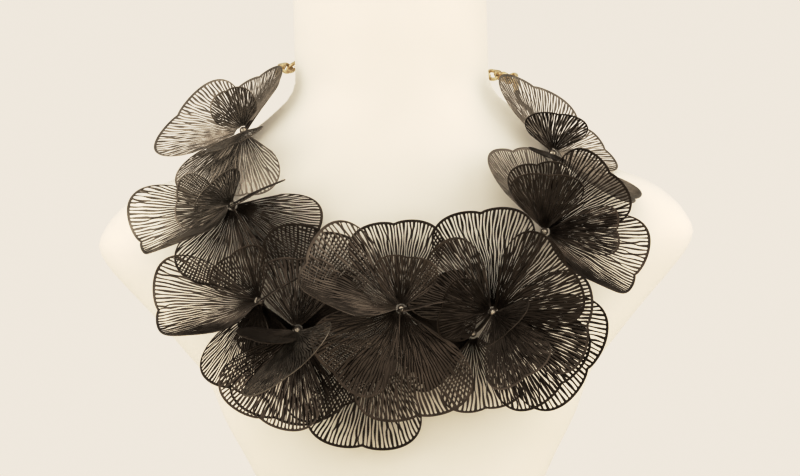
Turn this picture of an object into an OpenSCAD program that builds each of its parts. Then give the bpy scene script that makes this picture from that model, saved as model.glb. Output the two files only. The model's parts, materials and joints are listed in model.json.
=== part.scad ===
// Layered leaf necklace, worn by a plain neck bust.
// Millimetres. +Z is up, +X is the viewer's right and the viewer looks along +Y.
// The origin is the centre of the bust's foot.

/* [Bust] */
// Height from the foot to the cut top of the neck
bust_h = 330; // [325:1:345]
// Width across the shoulders
shoulder_w = 340; // [334:1:350]
// Depth of the chest in front of the middle plane
chest_d = 66; // [64:0.5:67]
// Width and depth of the round neck
neck_w = 111; // [109:0.5:112]

/* [Leaves] */
// Thickness of the leaf sheet
leaf_wall = 0.6; // [0.4:0.1:0.8]
// Depth of the notch between a leaf's two lobes, as a share of its length
notch = 0.06; // [0.02:0.01:0.1]
// Leaves at least this long are pierced by four slots
pierced_from = 48; // [47:1:52]
// Distance from a spindle's axis to the start of a leaf
leaf_start = 3.1; // [3.1:0.1:3.6]

/* [Collar] */
// Thickness of the curved wire that carries the flowers
collar_wire = 2.4; // [2:0.1:3]
// Thickness of the spindle through each flower
spindle_d = 4.2; // [3.6:0.1:4.4]
// Diameter of the bead at the front of each spindle
bead_d = 5; // [4.6:0.1:5]
// Gap between the metal and the bust
seat_gap = 0.5; // [0.5:0.1:0.8]

/* [Chain] */
// Number of links round the back of the neck
link_count = 17; // [15:1:17]
// Length of a link between the centres of its wire
link_l = 12; // [11.8:0.1:12.1]
// Width of a link between the centres of its wire
link_w = 6; // [5.8:0.1:6.2]
// Thickness of a link's wire
link_wire = 2; // [1.8:0.1:2]
// Play between two links
link_play = 0.4; // [0.3:0.1:0.5]

/* [Hidden] */
bust_sides = 32;
wire_sides = 6;
ring_corners = 10;
round_fn = 24;

// Bust sections: height, half width, front depth and back depth, as shares of the bust's height, half the
// shoulder width, the chest depth and half the neck width, then the squareness of the outline
HEIGHT = 0;
WIDTH = 1;
FRONT = 2;
BACK = 3;
SQUARE = 4;
neck_share = neck_w / shoulder_w;
neck_front = neck_w / 2 / chest_d;
SECTIONS = [
    [0.000, 0.380, 0.820, 0.90, 2.3],
    [0.150, 0.500, 0.910, 0.90, 2.3],
    [0.240, 0.590, 0.955, 0.90, 2.3],
    [0.310, 0.645, 0.985, 0.90, 2.3],
    [0.370, 0.735, 1.000, 0.90, 2.3],
    [0.425, 0.825, 0.995, 0.91, 2.3],
    [0.475, 0.912, 0.985, 0.92, 2.3],
    [0.515, 0.975, 0.970, 0.93, 2.3],
    [0.545, 1.000, 0.955, 0.94, 2.3],
    [0.580, 0.972, 0.930, 0.95, 2.3],
    [0.610, 0.920, 0.910, 0.96, 2.3],
    [0.635, 0.850, 0.895, 0.98, 2.3],
    [0.660, 0.730, 0.880, 1.00, 2.3],
    [0.685, 0.605, 0.870, 1.00, 2.2],
    [0.730, 0.495, 0.850, 1.00, 2.1],
    [0.770, 0.395, 0.843, 1.00, 2.0],
    [0.800, 0.340, neck_front, 1.00, 2.0],
    [0.825, neck_share, neck_front, 1.00, 2.0],
    [1.000, neck_share, neck_front, 1.00, 2.0]
];

// The necklace hangs turned by this angle about the bust's middle at this height, clockwise as the viewer
// sees it. The places and directions below are the ones before that turn.
hang_turn = 1.5;
hang_z = 180;

// Flowers: name, and the x, y and z of the point where the leaf stems meet
FLOWERS = [
    ["a", [-86, -46, 241]],
    ["b", [-92, -66, 199]],
    ["c", [-76, -76, 145]],
    ["d", [-55, -84, 129]],
    ["e", [3, -98, 141]],
    ["f", [54, -84, 139]],
    ["g", [83, -74, 184]],
    ["h", [88, -52, 228]],
    ["i", [-15, -76, 122]],
    ["j", [43, -72, 127]]
];

// Leaves. turn is the direction in which a leaf points, counter-clockwise from the viewer's right. tilt
// leans it towards the viewer, and roll brings its counter-clockwise side forward. cup bends its two
// sides forward and curl its tip, in degrees over its length. seat is how far behind the flower's point
// it sits, and half is half of the fan's angle.
NAME = 0;
LENGTH = 1;
TURN = 2;
TILT = 3;
ROLL = 4;
CUP = 5;
CURL = 6;
SEAT = 7;
HALF = 8;
LEAVES = [
    ["a1", 60, 171, -50, 37, 17, 11, 0, 45],
    ["a2", 50, 69, -50, -55, 11, 11, 3, 34],
    ["a3", 33, 112, 35, 0, 130, 11, -1, 44],
    ["a4", 34, -110, 68, 44, 23, 11, -1, 47],
    ["a5", 52, 234, 18, 0, 46, 0, 5, 27],
    ["a6", 43, -86, 35, 0, 69, -17, 2, 42],
    ["b1", 59, 206, 3, 45, 126, 11, 0, 47],
    ["b2", 34, 134, 55, 0, 23, 11, -2, 43],
    ["b3", 40, 175, 32, 0, 34, 11, 0, 34],
    ["b6", 37, 34, 50, 85, 17, 11, -1, 47],
    ["b7", 52, -24, 4, 0, 17, 0, 2, 36],
    ["b8", 49, 258, 5, 0, 23, 0, 1, 47],
    ["c1", 61, 188, 0, 35, 103, 11, 0, 47],
    ["c2", 36, 123, 22, 0, 17, 11, -1, 44],
    ["c3", 54, 252, 6, 0, 46, 0, 2, 35],
    ["c4", 34, 44, 60, 80, 17, 11, -3, 47],
    ["c5", 46, -76, 0, 0, 17, 0, 5, 30],
    ["d1", 36, 198, 40, 66, 17, 11, -2, 47],
    ["d2", 62, -92, 61, 42, 29, 11, -2, 47],
    ["d3", 42, 90, -6, 0, 17, 0, 4, 47],
    ["d4", 60, 247, 15, 0, 17, 11, 1, 44],
    ["d5", 56, -104, 12, 0, 17, 11, 3, 47],
    ["d6", 54, -58, 8, 0, 17, 11, 5, 47],
    ["d7", 60, 75, -3, 0, 17, 0, 12, 47],
    ["d8", 45, 30, -2, 0, 17, 0, 8, 34],
    ["d9", 35, 178, 0, 0, 17, 0, 15, 34],
    ["e1", 63, 157, 3, 35, 103, 11, 0, 47],
    ["e2", 34, 83, 20, 0, 17, 11, -1, 47],
    ["e3", 31, 18, 52, 85, 17, 11, -1, 47],
    ["e4", 55, 223, 4, 0, 46, -11, 0, 43],
    ["e5", 64, -81, -3, 0, 17, 0, 4, 47],
    ["e6", 51, 95, -8, 0, 17, 0, 16, 47],
    ["e7", 43, 3, -6, 0, 17, 0, 13, 41],
    ["f1", 60, 97, 2, 0, 17, 11, 6, 43],
    ["f2", 51, 145, 10, -6, 17, 11, 2, 44],
    ["f3", 56, 33, 17, 0, 17, 11, 1, 46],
    ["f4", 36, -48, 62, 0, 23, 11, -1, 47],
    ["f5", 49, -62, 26, 10, 17, 11, -1, 36],
    ["f6", 66, -31, -2, 0, 17, 11, 6, 47],
    ["f8", 37, 172, 30, -15, 17, 11, -1, 44],
    ["f9", 60, -46, 6, 0, 17, 11, 4, 47],
    ["f10", 58, -8, 7, 0, 17, 11, 2.5, 45],
    ["g1", 47, 87, 40, 0, 17, 11, -2, 38],
    ["g2", 55, 111, -21, 41, 8, 0, 0, 34],
    ["g3", 54, 42, 10, 0, 17, 11, 0, 40],
    ["g4", 45, 1, 14, 0, 17, 11, -1, 26],
    ["g5", 60, -29, 0, -38, 103, 11, 1, 47],
    ["g6", 44, 97, 20, 0, 17, 11, -1, 34],
    ["h1", 60, 110, -49, 51, 11, 11, 0, 42],
    ["h2", 34, 83, 42, 0, 17, 11, -1, 47],
    ["h3", 44, 0, -46, -45, 17, 11, 9, 35],
    ["h4", 22, 215, 72, 35, 17, 11, -3, 47],
    ["h5", 56, -34, 5, -73, 23, 11, 0, 32],
    ["i1", 62, -94, -5, 0, 17, 0, 0, 47],
    ["j1", 45, -80, 0, 0, 17, 0, 0, 47],
    ["j2", 46, 205, 0, 0, 17, 0, 1, 36]
];
pierced_cells = [10, 5];
plain_cells = [6, 4];
// Rows of a leaf from stem to rim, as shares of its reach. The slots run from the second to the fifth.
pierced_rows = [0, 0.18, 0.42, 0.66, 0.9, 1];
plain_rows = [0, 0.3, 0.6, 0.85, 1];
slot_columns = [1, 3, 6, 8];
// Half of the fan's angle where a leaf starts
stem_angle = 26;

// Route of the collar wire from the viewer's left to right: x, z and y. Where y is left out, the wire
// lies on the chest. It passes behind each flower.
COLLAR = [
    [-68, 268, -5],
    [-77, 255, -9],
    [-86, 241, -16],
    [-93, 226],
    [-95, 219, -43.5],
    [-95, 211],
    [-92, 199],
    [-86, 176],
    [-80, 158],
    [-76, 145],
    [-68, 136],
    [-55, 129],
    [-36, 124],
    [-15, 122],
    [3, 121],
    [24, 122],
    [43, 127],
    [54, 139],
    [66, 154],
    [76, 168],
    [83, 184],
    [90, 204],
    [92, 216],
    [88, 228, -38],
    [84, 240, -22],
    [77, 252, -12],
    [70, 259, -7]
];
// This flower lies above the wire. A short branch of this length comes up to it from the wire.
raised_flower = "e";
branch_l = 20;
route_steps = 2;

// Chain round the neck: its height beside the neck, its rise to the nape, its fall from the viewer's left
// to right, the angles from the nape at which it leaves the neck and runs straight forward, left and right,
// and how far each link leans out of the upright
chain_z = 273.3;
nape_rise = 8;
chain_fall = 4.1;
free_from = [63, 52];
link_lean = 45;
eye_r = 3.3;
clasp_small_r = 3;
clasp_big_r = 3.4;
clasp_barrel_d = 3.4;
clasp_barrel_l = 5;
chain_r = neck_w / 2 + sin(link_lean) * link_w / 2 + link_wire / 2 + seat_gap;
eye_step = eye_r + link_l / 2 - link_wire - link_play;
link_step = link_l - link_wire - link_play;
clasp_step = link_l / 2 + clasp_small_r - link_wire - link_play;
end_step = clasp_big_r + eye_r - link_wire - link_play;
last_link_at = eye_step + (link_count - 1) * link_step;
clasp_small_at = last_link_at + clasp_step;
clasp_big_at = clasp_small_at + clasp_small_r + clasp_big_r;
chain_end_at = clasp_big_at + end_step;

function leaf_node(leaf) = str("leaf_", leaf[NAME]);
function unit(v) = v / norm(v);
function hung(x, z) =
    [
        x * cos(hang_turn) + (z - hang_z) * sin(hang_turn),
        hang_z - x * sin(hang_turn) + (z - hang_z) * cos(hang_turn)
    ];
function power(x, n) = sign(x) * pow(abs(x), n);

// Bust surface
function share_at(z, column) = lookup(z / bust_h, [for (row = SECTIONS) [row[HEIGHT], row[column]]]);
function half_width(z) = share_at(z, WIDTH) * shoulder_w / 2;
function front_depth(z) = share_at(z, FRONT) * chest_d;
function back_depth(z) = share_at(z, BACK) * neck_w / 2;
function chest_y(x, z) =
    let (n = share_at(z, SQUARE))
    -front_depth(z) * pow(max(0, 1 - pow(abs(x) / half_width(z), n)), 1 / n);
function chest_slope(x, z) =
    norm([chest_y(x + 1, z) - chest_y(x - 1, z), chest_y(x, z + 1) - chest_y(x, z - 1)]) / 2;
function section_points(z) = [
    for (i = [0 : bust_sides - 1])
        let (
            a = 360 * i / bust_sides,
            n = 2 / share_at(z, SQUARE),
            depth = sin(a) < 0 ? front_depth(z) : back_depth(z)
        )
        [half_width(z) * power(cos(a), n), depth * power(sin(a), n), z]
];

// Faces of a tube whose rings of points follow each other, each ring counter-clockwise seen from the end
function tube_faces(rings, sides) = [
    for (r = [0 : rings - 2], i = [0 : sides - 1])
        let (j = (i + 1) % sides, a = r * sides, b = a + sides)
        each [[a + i, b + i, b + j], [a + i, b + j, a + j]]
];
function start_cap(sides) = [for (i = [0 : sides - 1]) i];
function end_cap(rings, sides) = [for (i = [sides - 1 : -1 : 0]) (rings - 1) * sides + i];

// A point of a leaf. across runs over the fan from -1 to 1, along from the stem, 0, to the rim, 1, and
// side is -1 behind the sheet and 1 in front of it.
function bent(angle, length, x) =
    angle == 0 ? [x, 0] :
    let (r = length * 180 / (PI * angle), a = x * angle / length)
    [r * sin(a), r * (1 - cos(a))];
function bend_slope(angle, length, x) = tan(x * angle / length);
function rim_share(across) =
    (1 - notch + notch * pow(abs(sin(180 * across)), 0.6)) * (1 - 0.42 * pow(abs(across), 5.4));
function fan_share(along) = 1 - 0.6 * exp(-along / 0.12);
function point_of(flower) =
    let (p = FLOWERS[search(flower, FLOWERS)[0]][1], at = hung(p[0], p[2]))
    [at[0], p[1], at[1]];
function flower_point(leaf) = point_of(leaf[NAME][0]);
function flower_front(name) = min([for (leaf = LEAVES) if (leaf[NAME][0] == name) leaf[SEAT]]);
function stem_forward(leaf, a) = cos(a) * sin(leaf[TILT]) + sin(a) * cos(leaf[TILT]) * sin(leaf[ROLL]);
function leaf_from(leaf) =
    let (
        behind = leaf[SEAT] - flower_front(leaf[NAME][0]),
        steepest = max([for (a = [-stem_angle, 0, stem_angle]) abs(stem_forward(leaf, a))]),
        beside = leaf_start / sqrt(1 - steepest * steepest),
        across = behind * cos(leaf[TILT])
    )
    beside * sin(leaf[TILT]) <= behind ? beside :
    behind * sin(leaf[TILT]) + sqrt(leaf_start * leaf_start - across * across);
function leaf_point(leaf, across, along, side) =
    let (
        length = leaf[LENGTH],
        reach = length * rim_share(across),
        from = leaf_from(leaf),
        out = from + along * (reach - from),
        a = leaf[HALF] * across * fan_share(out / reach),
        u = bent(leaf[CURL], length, out * cos(a)),
        v = bent(leaf[CUP], length, out * sin(a)),
        turn = leaf[TURN] - hang_turn,
        tilt = leaf[TILT],
        roll = leaf[ROLL],
        ahead = [cos(tilt) * cos(turn), -sin(tilt), cos(tilt) * sin(turn)],
        flat_side = [-sin(turn), 0, cos(turn)],
        flat_up = [-sin(tilt) * cos(turn), -cos(tilt), -sin(tilt) * sin(turn)],
        left = flat_side * cos(roll) + flat_up * sin(roll),
        up = flat_up * cos(roll) - flat_side * sin(roll),
        normal = unit(up - bend_slope(leaf[CURL], length, out * cos(a)) * ahead
            - bend_slope(leaf[CUP], length, out * sin(a)) * left)
    )
    flower_point(leaf) + [0, leaf[SEAT], 0] + u[0] * ahead + v[0] * left + (u[1] + v[1]) * up
        + side * leaf_wall / 2 * normal;

// Faces of a pierced sheet of cells. open tells which cells are cut through.
function is_open(row, column, cells, slots) =
    row < 0 || column < 0 || row >= cells[1] || column >= cells[0]
    || (slots && row > 0 && row < cells[1] - 1 && len(search(column, slot_columns)) > 0);
function sheet_index(row, column, side, cells) =
    (side * (cells[1] + 1) + row) * (cells[0] + 1) + column;
function wall_faces(from, to, cells) =
    let (
        a = sheet_index(from[0], from[1], 0, cells),
        b = sheet_index(to[0], to[1], 0, cells),
        c = sheet_index(to[0], to[1], 1, cells),
        d = sheet_index(from[0], from[1], 1, cells)
    )
    [[a, b, c], [a, c, d]];
function cell_faces(r, c, cells, slots) =
    let (
        corners = [[r, c], [r, c + 1], [r + 1, c + 1], [r + 1, c]],
        back = [for (q = corners) sheet_index(q[0], q[1], 0, cells)],
        front = [for (q = corners) sheet_index(q[0], q[1], 1, cells)],
        beyond = [[r - 1, c], [r, c + 1], [r + 1, c], [r, c - 1]]
    )
    concat(
        [[back[0], back[2], back[1]], [back[0], back[3], back[2]]],
        [[front[0], front[1], front[2]], [front[0], front[2], front[3]]],
        [
            for (k = [0 : 3])
                if (is_open(beyond[k][0], beyond[k][1], cells, slots))
                    each wall_faces(corners[k], corners[(k + 1) % 4], cells)
        ]
    );

// Wires
function along_curve(p0, p1, p2, p3, t) =
    0.5 * (2 * p1 + t * (p2 - p0) + t * t * (2 * p0 - 5 * p1 + 4 * p2 - p3)
        + t * t * t * (3 * p1 - p0 - 3 * p2 + p3));
function smooth_route(route) =
    let (last = len(route) - 1)
    concat(
        [
            for (i = [0 : last - 1], k = [0 : route_steps - 1])
                along_curve(route[max(i - 1, 0)], route[i], route[i + 1], route[min(i + 2, last)],
                    k / route_steps)
        ],
        [route[last]]
    );
function wire_rings(route, wire) =
    let (last = len(route) - 1)
    [
        for (i = [0 : last], k = [0 : wire_sides - 1])
            let (
                ahead = unit(route[min(i + 1, last)] - route[max(i - 1, 0)]),
                side = unit(cross(ahead, [0, 1, 0])),
                up = cross(ahead, side),
                a = 360 * k / wire_sides
            )
            route[i] + wire / 2 * (cos(a) * side + sin(a) * up)
    ];

// Places along the chain, by their distance from its first eye
function chain_point(at) =
    let (
        s = at - chain_end_at / 2,
        leaves_at = free_from[s < 0 ? 0 : 1],
        a = min(abs(s) / chain_r * 180 / PI, leaves_at),
        free = max(0, abs(s) - chain_r * leaves_at * PI / 180),
        x = sign(s) * (chain_r * sin(a) + free * cos(a)),
        y = chain_r * cos(a) - free * sin(a)
    )
    [x, y, chain_z + (nape_rise * y - chain_fall * x) / chain_r];
function chain_ahead(at) = unit(chain_point(at + 0.1) - chain_point(at - 0.1));
function chain_side(at, lean) =
    let (ahead = chain_ahead(at), out = unit(cross(ahead, [0, 0, 1])), up = cross(out, ahead))
    cos(lean) * up + sin(lean) * out;

// A closed ring of wire. Its centre line is a circle, or two half circles set apart.
function ring_points(at, lean, half_l, half_w, wire) = [
    for (i = [0 : ring_corners - 1], k = [0 : wire_sides - 1])
        let (
            ahead = chain_ahead(at),
            side = chain_side(at, lean),
            a = 360 * i / ring_corners,
            out = cos(a) * ahead + sin(a) * side,
            apart = (half_l - half_w) * sign(cos(a)),
            b = 360 * k / wire_sides
        )
        chain_point(at) + apart * ahead + half_w * out
            + wire / 2 * (cos(b) * out + sin(b) * cross(side, ahead))
];
function ring_faces() = [
    for (r = [0 : ring_corners - 1], i = [0 : wire_sides - 1])
        let (
            j = (i + 1) % wire_sides,
            a = r * wire_sides,
            b = (r + 1) % ring_corners * wire_sides
        )
        each [[a + i, b + i, b + j], [a + i, b + j, a + j]]
];

module ring(at, lean, half_l, half_w, wire) {
    polyhedron(ring_points(at, lean, half_l, half_w, wire), ring_faces());
}

module rod(from, to, d) {
    way = to - from;
    translate(from)
        rotate([0, acos(way[2] / norm(way)), atan2(way[1], way[0])])
            cylinder(h = norm(way), d = d, $fn = round_fn);
}

module bust_form() {
    rows = len(SECTIONS);
    points = [for (row = SECTIONS) each section_points(row[HEIGHT] * bust_h)];
    caps = [start_cap(bust_sides), end_cap(rows, bust_sides)];
    color("#ece1cf") polyhedron(points, concat(tube_faces(rows, bust_sides), caps));
}

function collar_y(x, z) =
    chest_y(x, z) - (collar_wire / 2 + seat_gap) * norm([1, chest_slope(x, z)]);
function collar_route() = concat(
    [chain_point(0) - eye_r * chain_ahead(0)],
    [
        for (row = COLLAR)
            let (at = hung(row[0], row[1]))
            [at[0], len(row) > 2 ? row[2] : collar_y(at[0], at[1]), at[1]]
    ],
    [chain_point(chain_end_at) + eye_r * chain_ahead(chain_end_at)]
);
function wire_y(x, z) =
    let (at = [for (p = collar_route()) if (p[0] == x && p[2] == z) p[1]])
    len(at) > 0 ? at[0] : collar_y(x, z);

module collar() {
    route = smooth_route(collar_route());
    caps = [start_cap(wire_sides), end_cap(len(route), wire_sides)];
    raised = point_of(raised_flower);
    color("#9c7c4c") {
        polyhedron(wire_rings(route, collar_wire), concat(tube_faces(len(route), wire_sides), caps));
        ring(0, link_lean, eye_r, eye_r, link_wire);
        ring(chain_end_at, -link_lean, eye_r, eye_r, link_wire);
        for (flower = FLOWERS) {
            p = point_of(flower[0]);
            front = [p[0], p[1] + flower_front(flower[0]), p[2]];
            rod(front, [p[0], wire_y(p[0], p[2]), p[2]], spindle_d);
            translate(front) sphere(d = bead_d, $fn = round_fn);
        }
        rod(
            [raised[0], collar_y(raised[0], raised[2]), raised[2]],
            [raised[0], collar_y(raised[0], raised[2] - branch_l), raised[2] - branch_l],
            collar_wire
        );
    }
}

module back_chain() {
    color("#9c7c4c")
        for (i = [0 : link_count - 1])
            ring(eye_step + i * link_step, i % 2 == 0 ? -link_lean : link_lean, link_l / 2, link_w / 2,
                link_wire);
}

module clasp() {
    lean = link_count % 2 == 0 ? -link_lean : link_lean;
    joint_at = clasp_small_at + clasp_small_r;
    middle = chain_point(joint_at);
    half_barrel = clasp_barrel_l / 2 * chain_ahead(joint_at);
    color("#9c7c4c") {
        ring(clasp_small_at, lean, clasp_small_r, clasp_small_r, link_wire);
        ring(clasp_big_at, lean, clasp_big_r, clasp_big_r, link_wire);
        rod(middle - half_barrel, middle + half_barrel, clasp_barrel_d);
    }
}

module leaf(row) {
    slots = row[LENGTH] >= pierced_from;
    cells = slots ? pierced_cells : plain_cells;
    shares = slots ? pierced_rows : plain_rows;
    points = [
        for (side = [-1, 1], along = shares, c = [0 : cells[0]])
            leaf_point(row, 2 * c / cells[0] - 1, along, side)
    ];
    faces = [
        for (r = [0 : cells[1] - 1], c = [0 : cells[0] - 1])
            if (!is_open(r, c, cells, slots)) each cell_faces(r, c, cells, slots)
    ];
    color("#4a3e35") polyhedron(points, faces);
}

bust_form();
collar();
back_chain();
clasp();
for (row = LEAVES) leaf(row);
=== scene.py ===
"""Layered leaf necklace on a plain neck bust: the looks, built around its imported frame.

Metres throughout, in the frame's own axes: +Z is up, +X is the viewer's right, the viewer looks along +Y.
"""

import json
import logging
import math
import random
from dataclasses import dataclass, field, replace
from enum import Enum

import bpy
import numpy as np
from mathutils import Matrix, Vector

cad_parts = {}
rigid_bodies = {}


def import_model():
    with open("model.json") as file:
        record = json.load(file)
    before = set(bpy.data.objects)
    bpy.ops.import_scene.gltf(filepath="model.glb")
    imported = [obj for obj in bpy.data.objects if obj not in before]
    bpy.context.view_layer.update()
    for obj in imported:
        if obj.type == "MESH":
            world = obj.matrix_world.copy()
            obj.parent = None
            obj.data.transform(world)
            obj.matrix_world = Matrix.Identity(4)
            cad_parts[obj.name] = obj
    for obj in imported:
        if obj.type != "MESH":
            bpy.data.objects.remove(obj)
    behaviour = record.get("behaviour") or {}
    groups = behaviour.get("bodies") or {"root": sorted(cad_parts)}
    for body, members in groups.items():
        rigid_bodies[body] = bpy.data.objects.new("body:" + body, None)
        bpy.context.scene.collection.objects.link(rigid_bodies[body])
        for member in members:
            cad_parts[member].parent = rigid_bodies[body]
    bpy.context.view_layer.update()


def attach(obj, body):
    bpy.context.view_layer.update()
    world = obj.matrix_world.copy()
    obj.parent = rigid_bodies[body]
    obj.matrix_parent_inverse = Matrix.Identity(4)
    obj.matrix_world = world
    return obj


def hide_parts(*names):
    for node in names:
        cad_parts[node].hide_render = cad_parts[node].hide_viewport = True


LOG = logging.getLogger("necklace")
BODY = "root"
MM = 0.001
HANG_TURN = math.radians(1.5)
HANG_Z = 180.0
Socket = bpy.types.NodeSocket


class Slot(Enum):
    """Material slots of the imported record."""

    LEAVES = "leaf_lacquer"
    METAL = "brass"
    CAPS = "silver_caps"
    COVER = "bust_cover"


def linear(code: str) -> tuple[float, float, float, float]:
    """Turns an sRGB hex colour into linear red, green, blue and alpha.

    Args:
        code: Six hex digits, with or without a leading #.

    Returns:
        The linear colour that Blender's sockets take.
    """
    shares = [int(code.lstrip("#")[i : i + 2], 16) / 255 for i in (0, 2, 4)]
    red, green, blue = (c / 12.92 if c <= 0.04045 else ((c + 0.055) / 1.055) ** 2.4 for c in shares)
    return red, green, blue, 1.0


def add_node(
    tree: bpy.types.NodeTree,
    kind: str,
    settings: dict[str, object] | None = None,
    values: dict[str | int, object] | None = None,
    links: dict[str | int, Socket] | None = None,
) -> bpy.types.Node:
    """Adds a node to a tree, sets it up and links its inputs.

    Args:
        tree: Tree of the material or world.
        kind: Blender's name of the node's kind.
        settings: The node's own properties, by name.
        values: Values of its input sockets, by the socket's name or number.
        links: Output sockets that feed its inputs, by the input's name or number.

    Returns:
        The new node.
    """
    node = tree.nodes.new(kind)
    for name, value in (settings or {}).items():
        setattr(node, name, value)
    for name, value in (values or {}).items():
        node.inputs[name].default_value = value
    for name, source in (links or {}).items():
        tree.links.new(source, node.inputs[name])
    return node


def new_material(name: str) -> tuple[bpy.types.Material, bpy.types.NodeTree, Socket]:
    """Makes an empty node material.

    Args:
        name: The material's name.

    Returns:
        The material, its node tree and the Object coordinates socket.
    """
    material = bpy.data.materials.new(name)
    material.use_nodes = True
    tree = material.node_tree
    tree.nodes.clear()
    place = add_node(tree, "ShaderNodeTexCoord").outputs["Object"]
    return material, tree, place


def two_tones(tree: bpy.types.NodeTree, share: Socket, dark: str, light: str) -> Socket:
    """Mixes two colours by a share.

    Args:
        tree: Tree of the material.
        share: Socket that runs from 0, dark, to 1, light.
        dark: Hex colour at 0.
        light: Hex colour at 1.

    Returns:
        The colour's socket.
    """
    values = {6: linear(dark), 7: linear(light)}
    return add_node(tree, "ShaderNodeMix", {"data_type": "RGBA"}, values, {0: share}).outputs[2]


def ranged(
    tree: bpy.types.NodeTree, source: Socket, span: tuple[float, float], to: tuple[float, float]
) -> Socket:
    """Maps a value from one range to another and keeps it there.

    Args:
        tree: Tree of the material.
        source: Socket of the value.
        span: Lowest and highest value that are expected.
        to: What those two become.

    Returns:
        The mapped value's socket.
    """
    values = {"From Min": span[0], "From Max": span[1], "To Min": to[0], "To Max": to[1]}
    return add_node(tree, "ShaderNodeMapRange", {}, values, {"Value": source}).outputs["Result"]


def noise(tree: bpy.types.NodeTree, place: Socket, size_mm: float, detail: float) -> Socket:
    """Adds a soft random pattern.

    Args:
        tree: Tree of the material.
        place: Socket of the coordinates.
        size_mm: Size of its patches in millimetres.
        detail: How many finer patterns lie on it.

    Returns:
        Socket of its share, around 0.5.
    """
    values = {"Scale": 1 / (size_mm * MM), "Detail": detail}
    return add_node(tree, "ShaderNodeTexNoise", {}, values, {"Vector": place}).outputs["Fac"]


def bumped(tree: bpy.types.NodeTree, height: Socket, strength: float, depth_mm: float) -> Socket:
    """Turns a pattern into small dents.

    Args:
        tree: Tree of the material.
        height: Socket of the pattern.
        strength: Share of the dents that the light shows.
        depth_mm: Their depth in millimetres.

    Returns:
        Socket of the bent normal.
    """
    values = {"Strength": strength, "Distance": depth_mm * MM}
    return add_node(tree, "ShaderNodeBump", {}, values, {"Height": height}).outputs["Normal"]


def coat(tree: bpy.types.NodeTree, values: dict[str, object], links: dict[str, Socket]) -> None:
    """Ends a material in one surface shader.

    Args:
        tree: Tree of the material.
        values: The shader's single values, by input.
        links: Sockets that feed its other inputs.
    """
    shader = add_node(tree, "ShaderNodeBsdfPrincipled", {}, values, links)
    add_node(tree, "ShaderNodeOutputMaterial", {}, {}, {"Surface": shader.outputs["BSDF"]})


# Low and high value of a random pattern between which a finish's gloss changes.
GLOSS_SPAN = (0.3, 0.7)


@dataclass(frozen=True)
class Finish:
    """A surface whose two tones lie in soft patches, and whose gloss and fine dents vary.

    dark and light are the tones, patch_mm and patch_detail the patches, and tone_span the part of their
    pattern in which one tone turns into the other. gloss is how far the roughness moves from its middle value
    over a pattern, which is the fine one if fine_gloss is set. fine_mm and fine_detail are the fine pattern,
    and dents its strength and its depth in millimetres. Without an ior, the shader keeps its own.
    """

    name: str
    dark: str
    light: str
    metallic: float
    roughness: float
    patch_mm: float
    patch_detail: float
    tone_span: tuple[float, float]
    ior: float | None = None
    gloss: tuple[float, float] | None = None
    fine_gloss: bool = False
    fine_mm: float = 1.0
    fine_detail: float = 1.0
    dents: tuple[float, float] | None = None

    def material(self) -> bpy.types.Material:
        """Builds the finish's node material.

        Returns:
            The material.
        """
        made, tree, place = new_material(self.name)
        patch = noise(tree, place, self.patch_mm, self.patch_detail)
        fine = noise(tree, place, self.fine_mm, self.fine_detail) if self.dents else patch
        share = ranged(tree, patch, self.tone_span, (0.0, 1.0))
        values = {"Metallic": self.metallic, "Roughness": self.roughness}
        links = {"Base Color": two_tones(tree, share, self.dark, self.light)}
        if self.ior:
            values["IOR"] = self.ior
        if self.gloss:
            low, high = (self.roughness + change for change in self.gloss)
            links["Roughness"] = ranged(tree, fine if self.fine_gloss else patch, GLOSS_SPAN, (low, high))
        if self.dents:
            links["Normal"] = bumped(tree, fine, *self.dents)
        coat(tree, values, links)
        return made


@dataclass(frozen=True)
class BakedLacquer(Finish):
    """Etched steel sheet with a baked satin lacquer.

    The lacquer gives the eye a deep, warm brown with a soft metallic sheen, a little paler where it lies
    thin, and the faint orange peel of a sprayed coat.
    """

    name: str = "baked_satin_lacquer"
    dark: str = "#433b34"
    light: str = "#595048"
    metallic: float = 0.9
    roughness: float = 0.42
    patch_mm: float = 9.0
    patch_detail: float = 3.0
    tone_span: tuple[float, float] = (0.35, 0.65)
    gloss: tuple[float, float] = (-0.05, 0.07)
    fine_mm: float = 0.7
    dents: tuple[float, float] = (0.25, 0.06)


@dataclass(frozen=True)
class AgedBrass(Finish):
    """Drawn and soldered brass wire, lightly tarnished.

    It gives the eye a warm yellow metal that is browner and duller in patches, with bright worn spots.
    """

    name: str = "aged_brass"
    dark: str = "#b9a482"
    light: str = "#e8dcc0"
    metallic: float = 1.0
    roughness: float = 0.24
    patch_mm: float = 3.0
    patch_detail: float = 4.0
    tone_span: tuple[float, float] = (0.38, 0.6)
    gloss: tuple[float, float] = (0.2, 0.0)
    fine_mm: float = 0.35
    fine_detail: float = 2.0
    dents: tuple[float, float] = (0.3, 0.05)


@dataclass(frozen=True)
class PolishedSilver(Finish):
    """Turned and polished silver of the caps, which gives the eye small, bright, slightly grey glints."""

    name: str = "polished_silver"
    dark: str = "#7f786d"
    light: str = "#c9c3b8"
    metallic: float = 1.0
    roughness: float = 0.3
    patch_mm: float = 1.5
    patch_detail: float = 3.0
    tone_span: tuple[float, float] = (0.35, 0.55)
    gloss: tuple[float, float] = (0.15, 0.0)


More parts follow.
